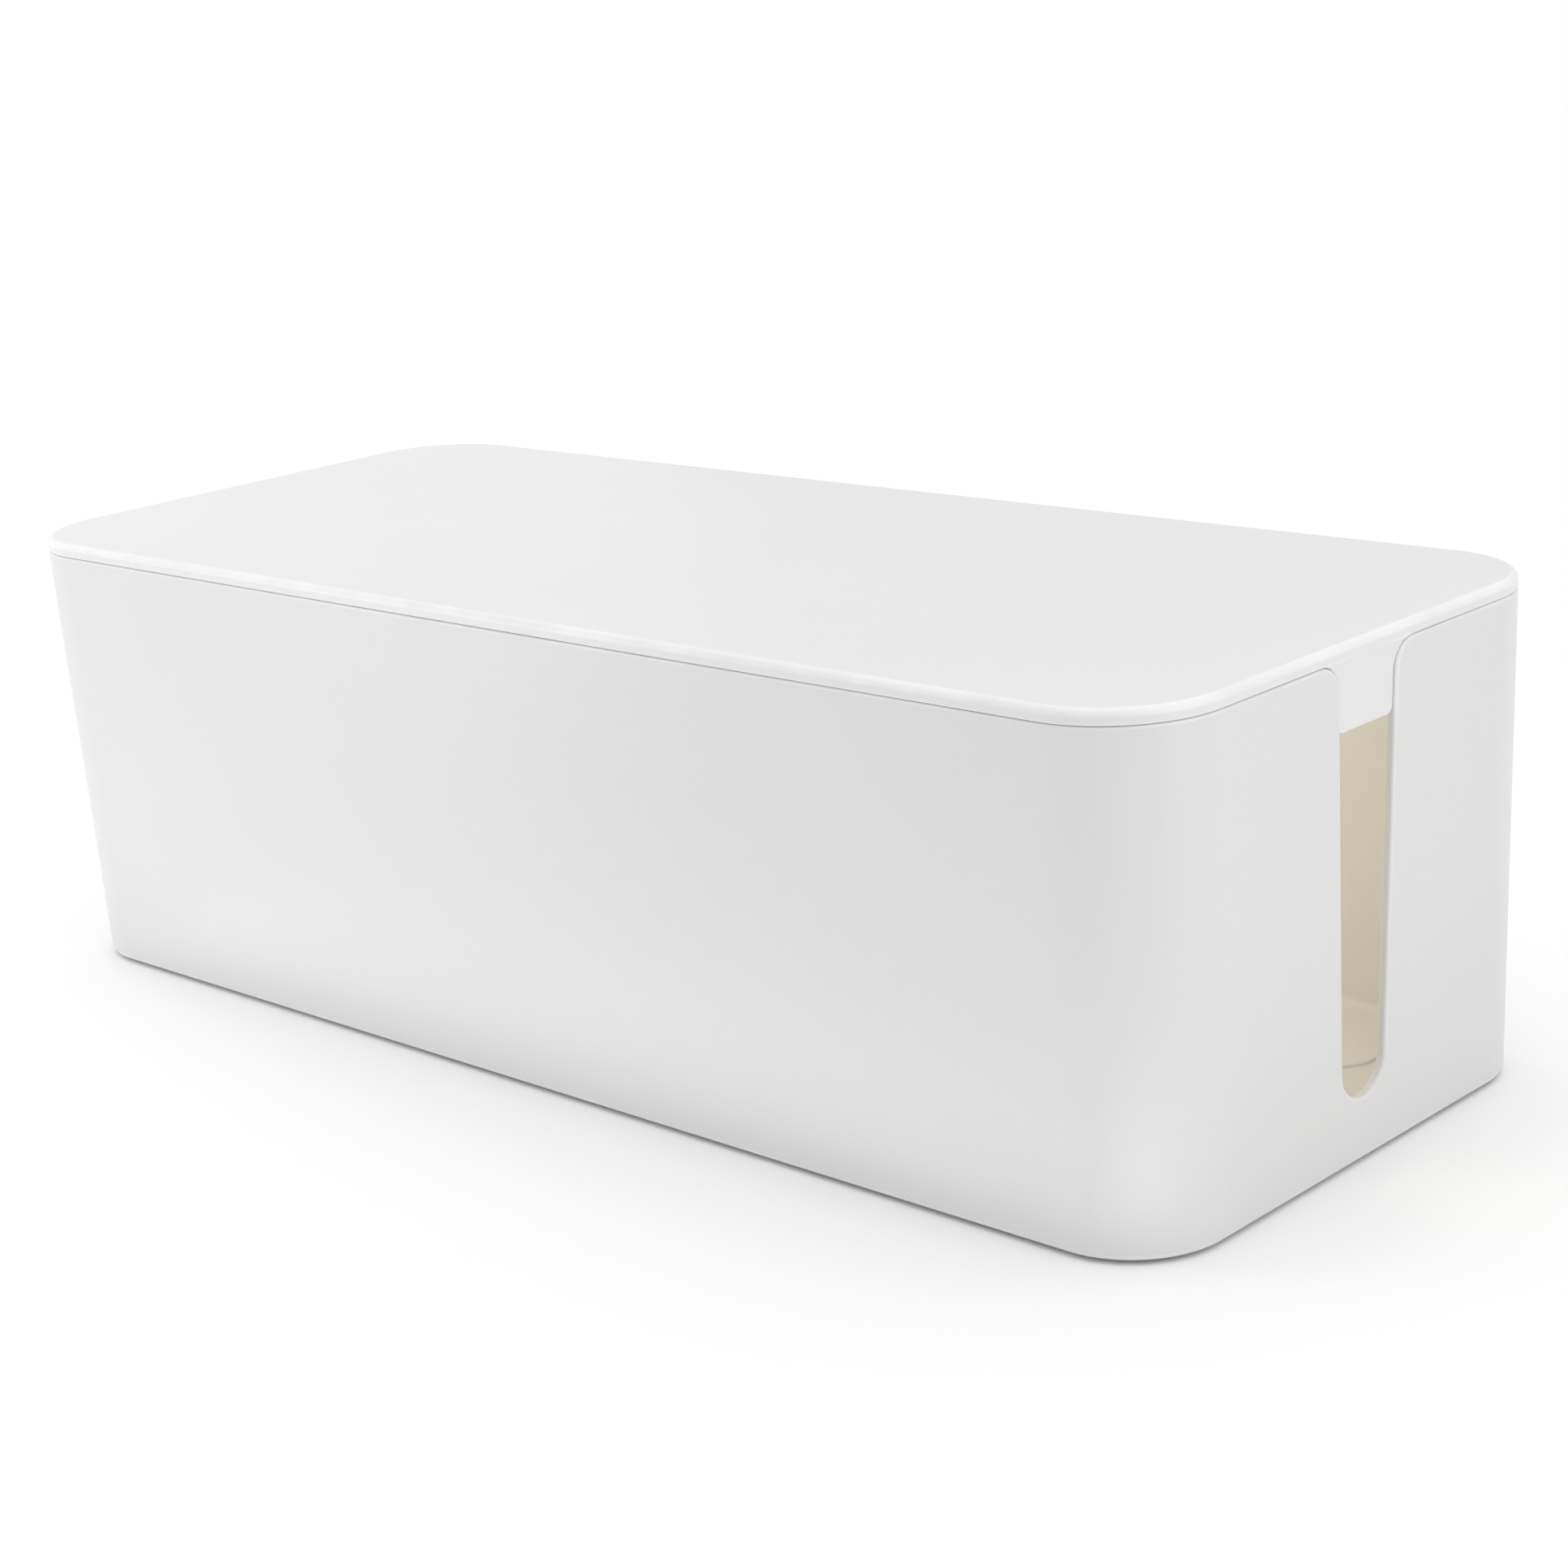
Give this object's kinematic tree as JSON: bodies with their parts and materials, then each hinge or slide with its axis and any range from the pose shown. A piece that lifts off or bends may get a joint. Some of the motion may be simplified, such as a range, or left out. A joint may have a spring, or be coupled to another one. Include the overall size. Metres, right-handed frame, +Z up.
{
  "type": "cable management box",
  "caption": "Closed box with rounded upright corners that hides a power strip and its leads, with a lift-off lid and a cable slot in each end wall.",
  "frame": {"origin": "on the surface that the box stands on, under the middle of the box", "axes": "+X along the box, +Y across it from front to back, +Z up; the ends with the cable slots face +X and -X"},
  "size_m": [0.41, 0.168, 0.128],
  "materials": {
    "tub_plastic": "satin moulded, fine grain",
    "lid_plastic": "satin moulded, fine grain",
    "foot_rubber": "matte",
    "foot_tape": "matte foam"
  },
  "bodies": {
    "tub": {"tub": "tub_plastic", "foot_front_left": "foot_rubber", "foot_front_right": "foot_rubber", "foot_back_left": "foot_rubber", "foot_back_right": "foot_rubber", "foot_tape_front_left": "foot_tape", "foot_tape_front_right": "foot_tape", "foot_tape_back_left": "foot_tape", "foot_tape_back_right": "foot_tape"},
    "lid": {"lid": "lid_plastic"}
  },
  "joints": [
    {"name": "lid_lift", "type": "slide", "parent": "tub", "child": "lid", "axis": [0, 0, 1], "range_m": [0, 0.08]}
  ]
}
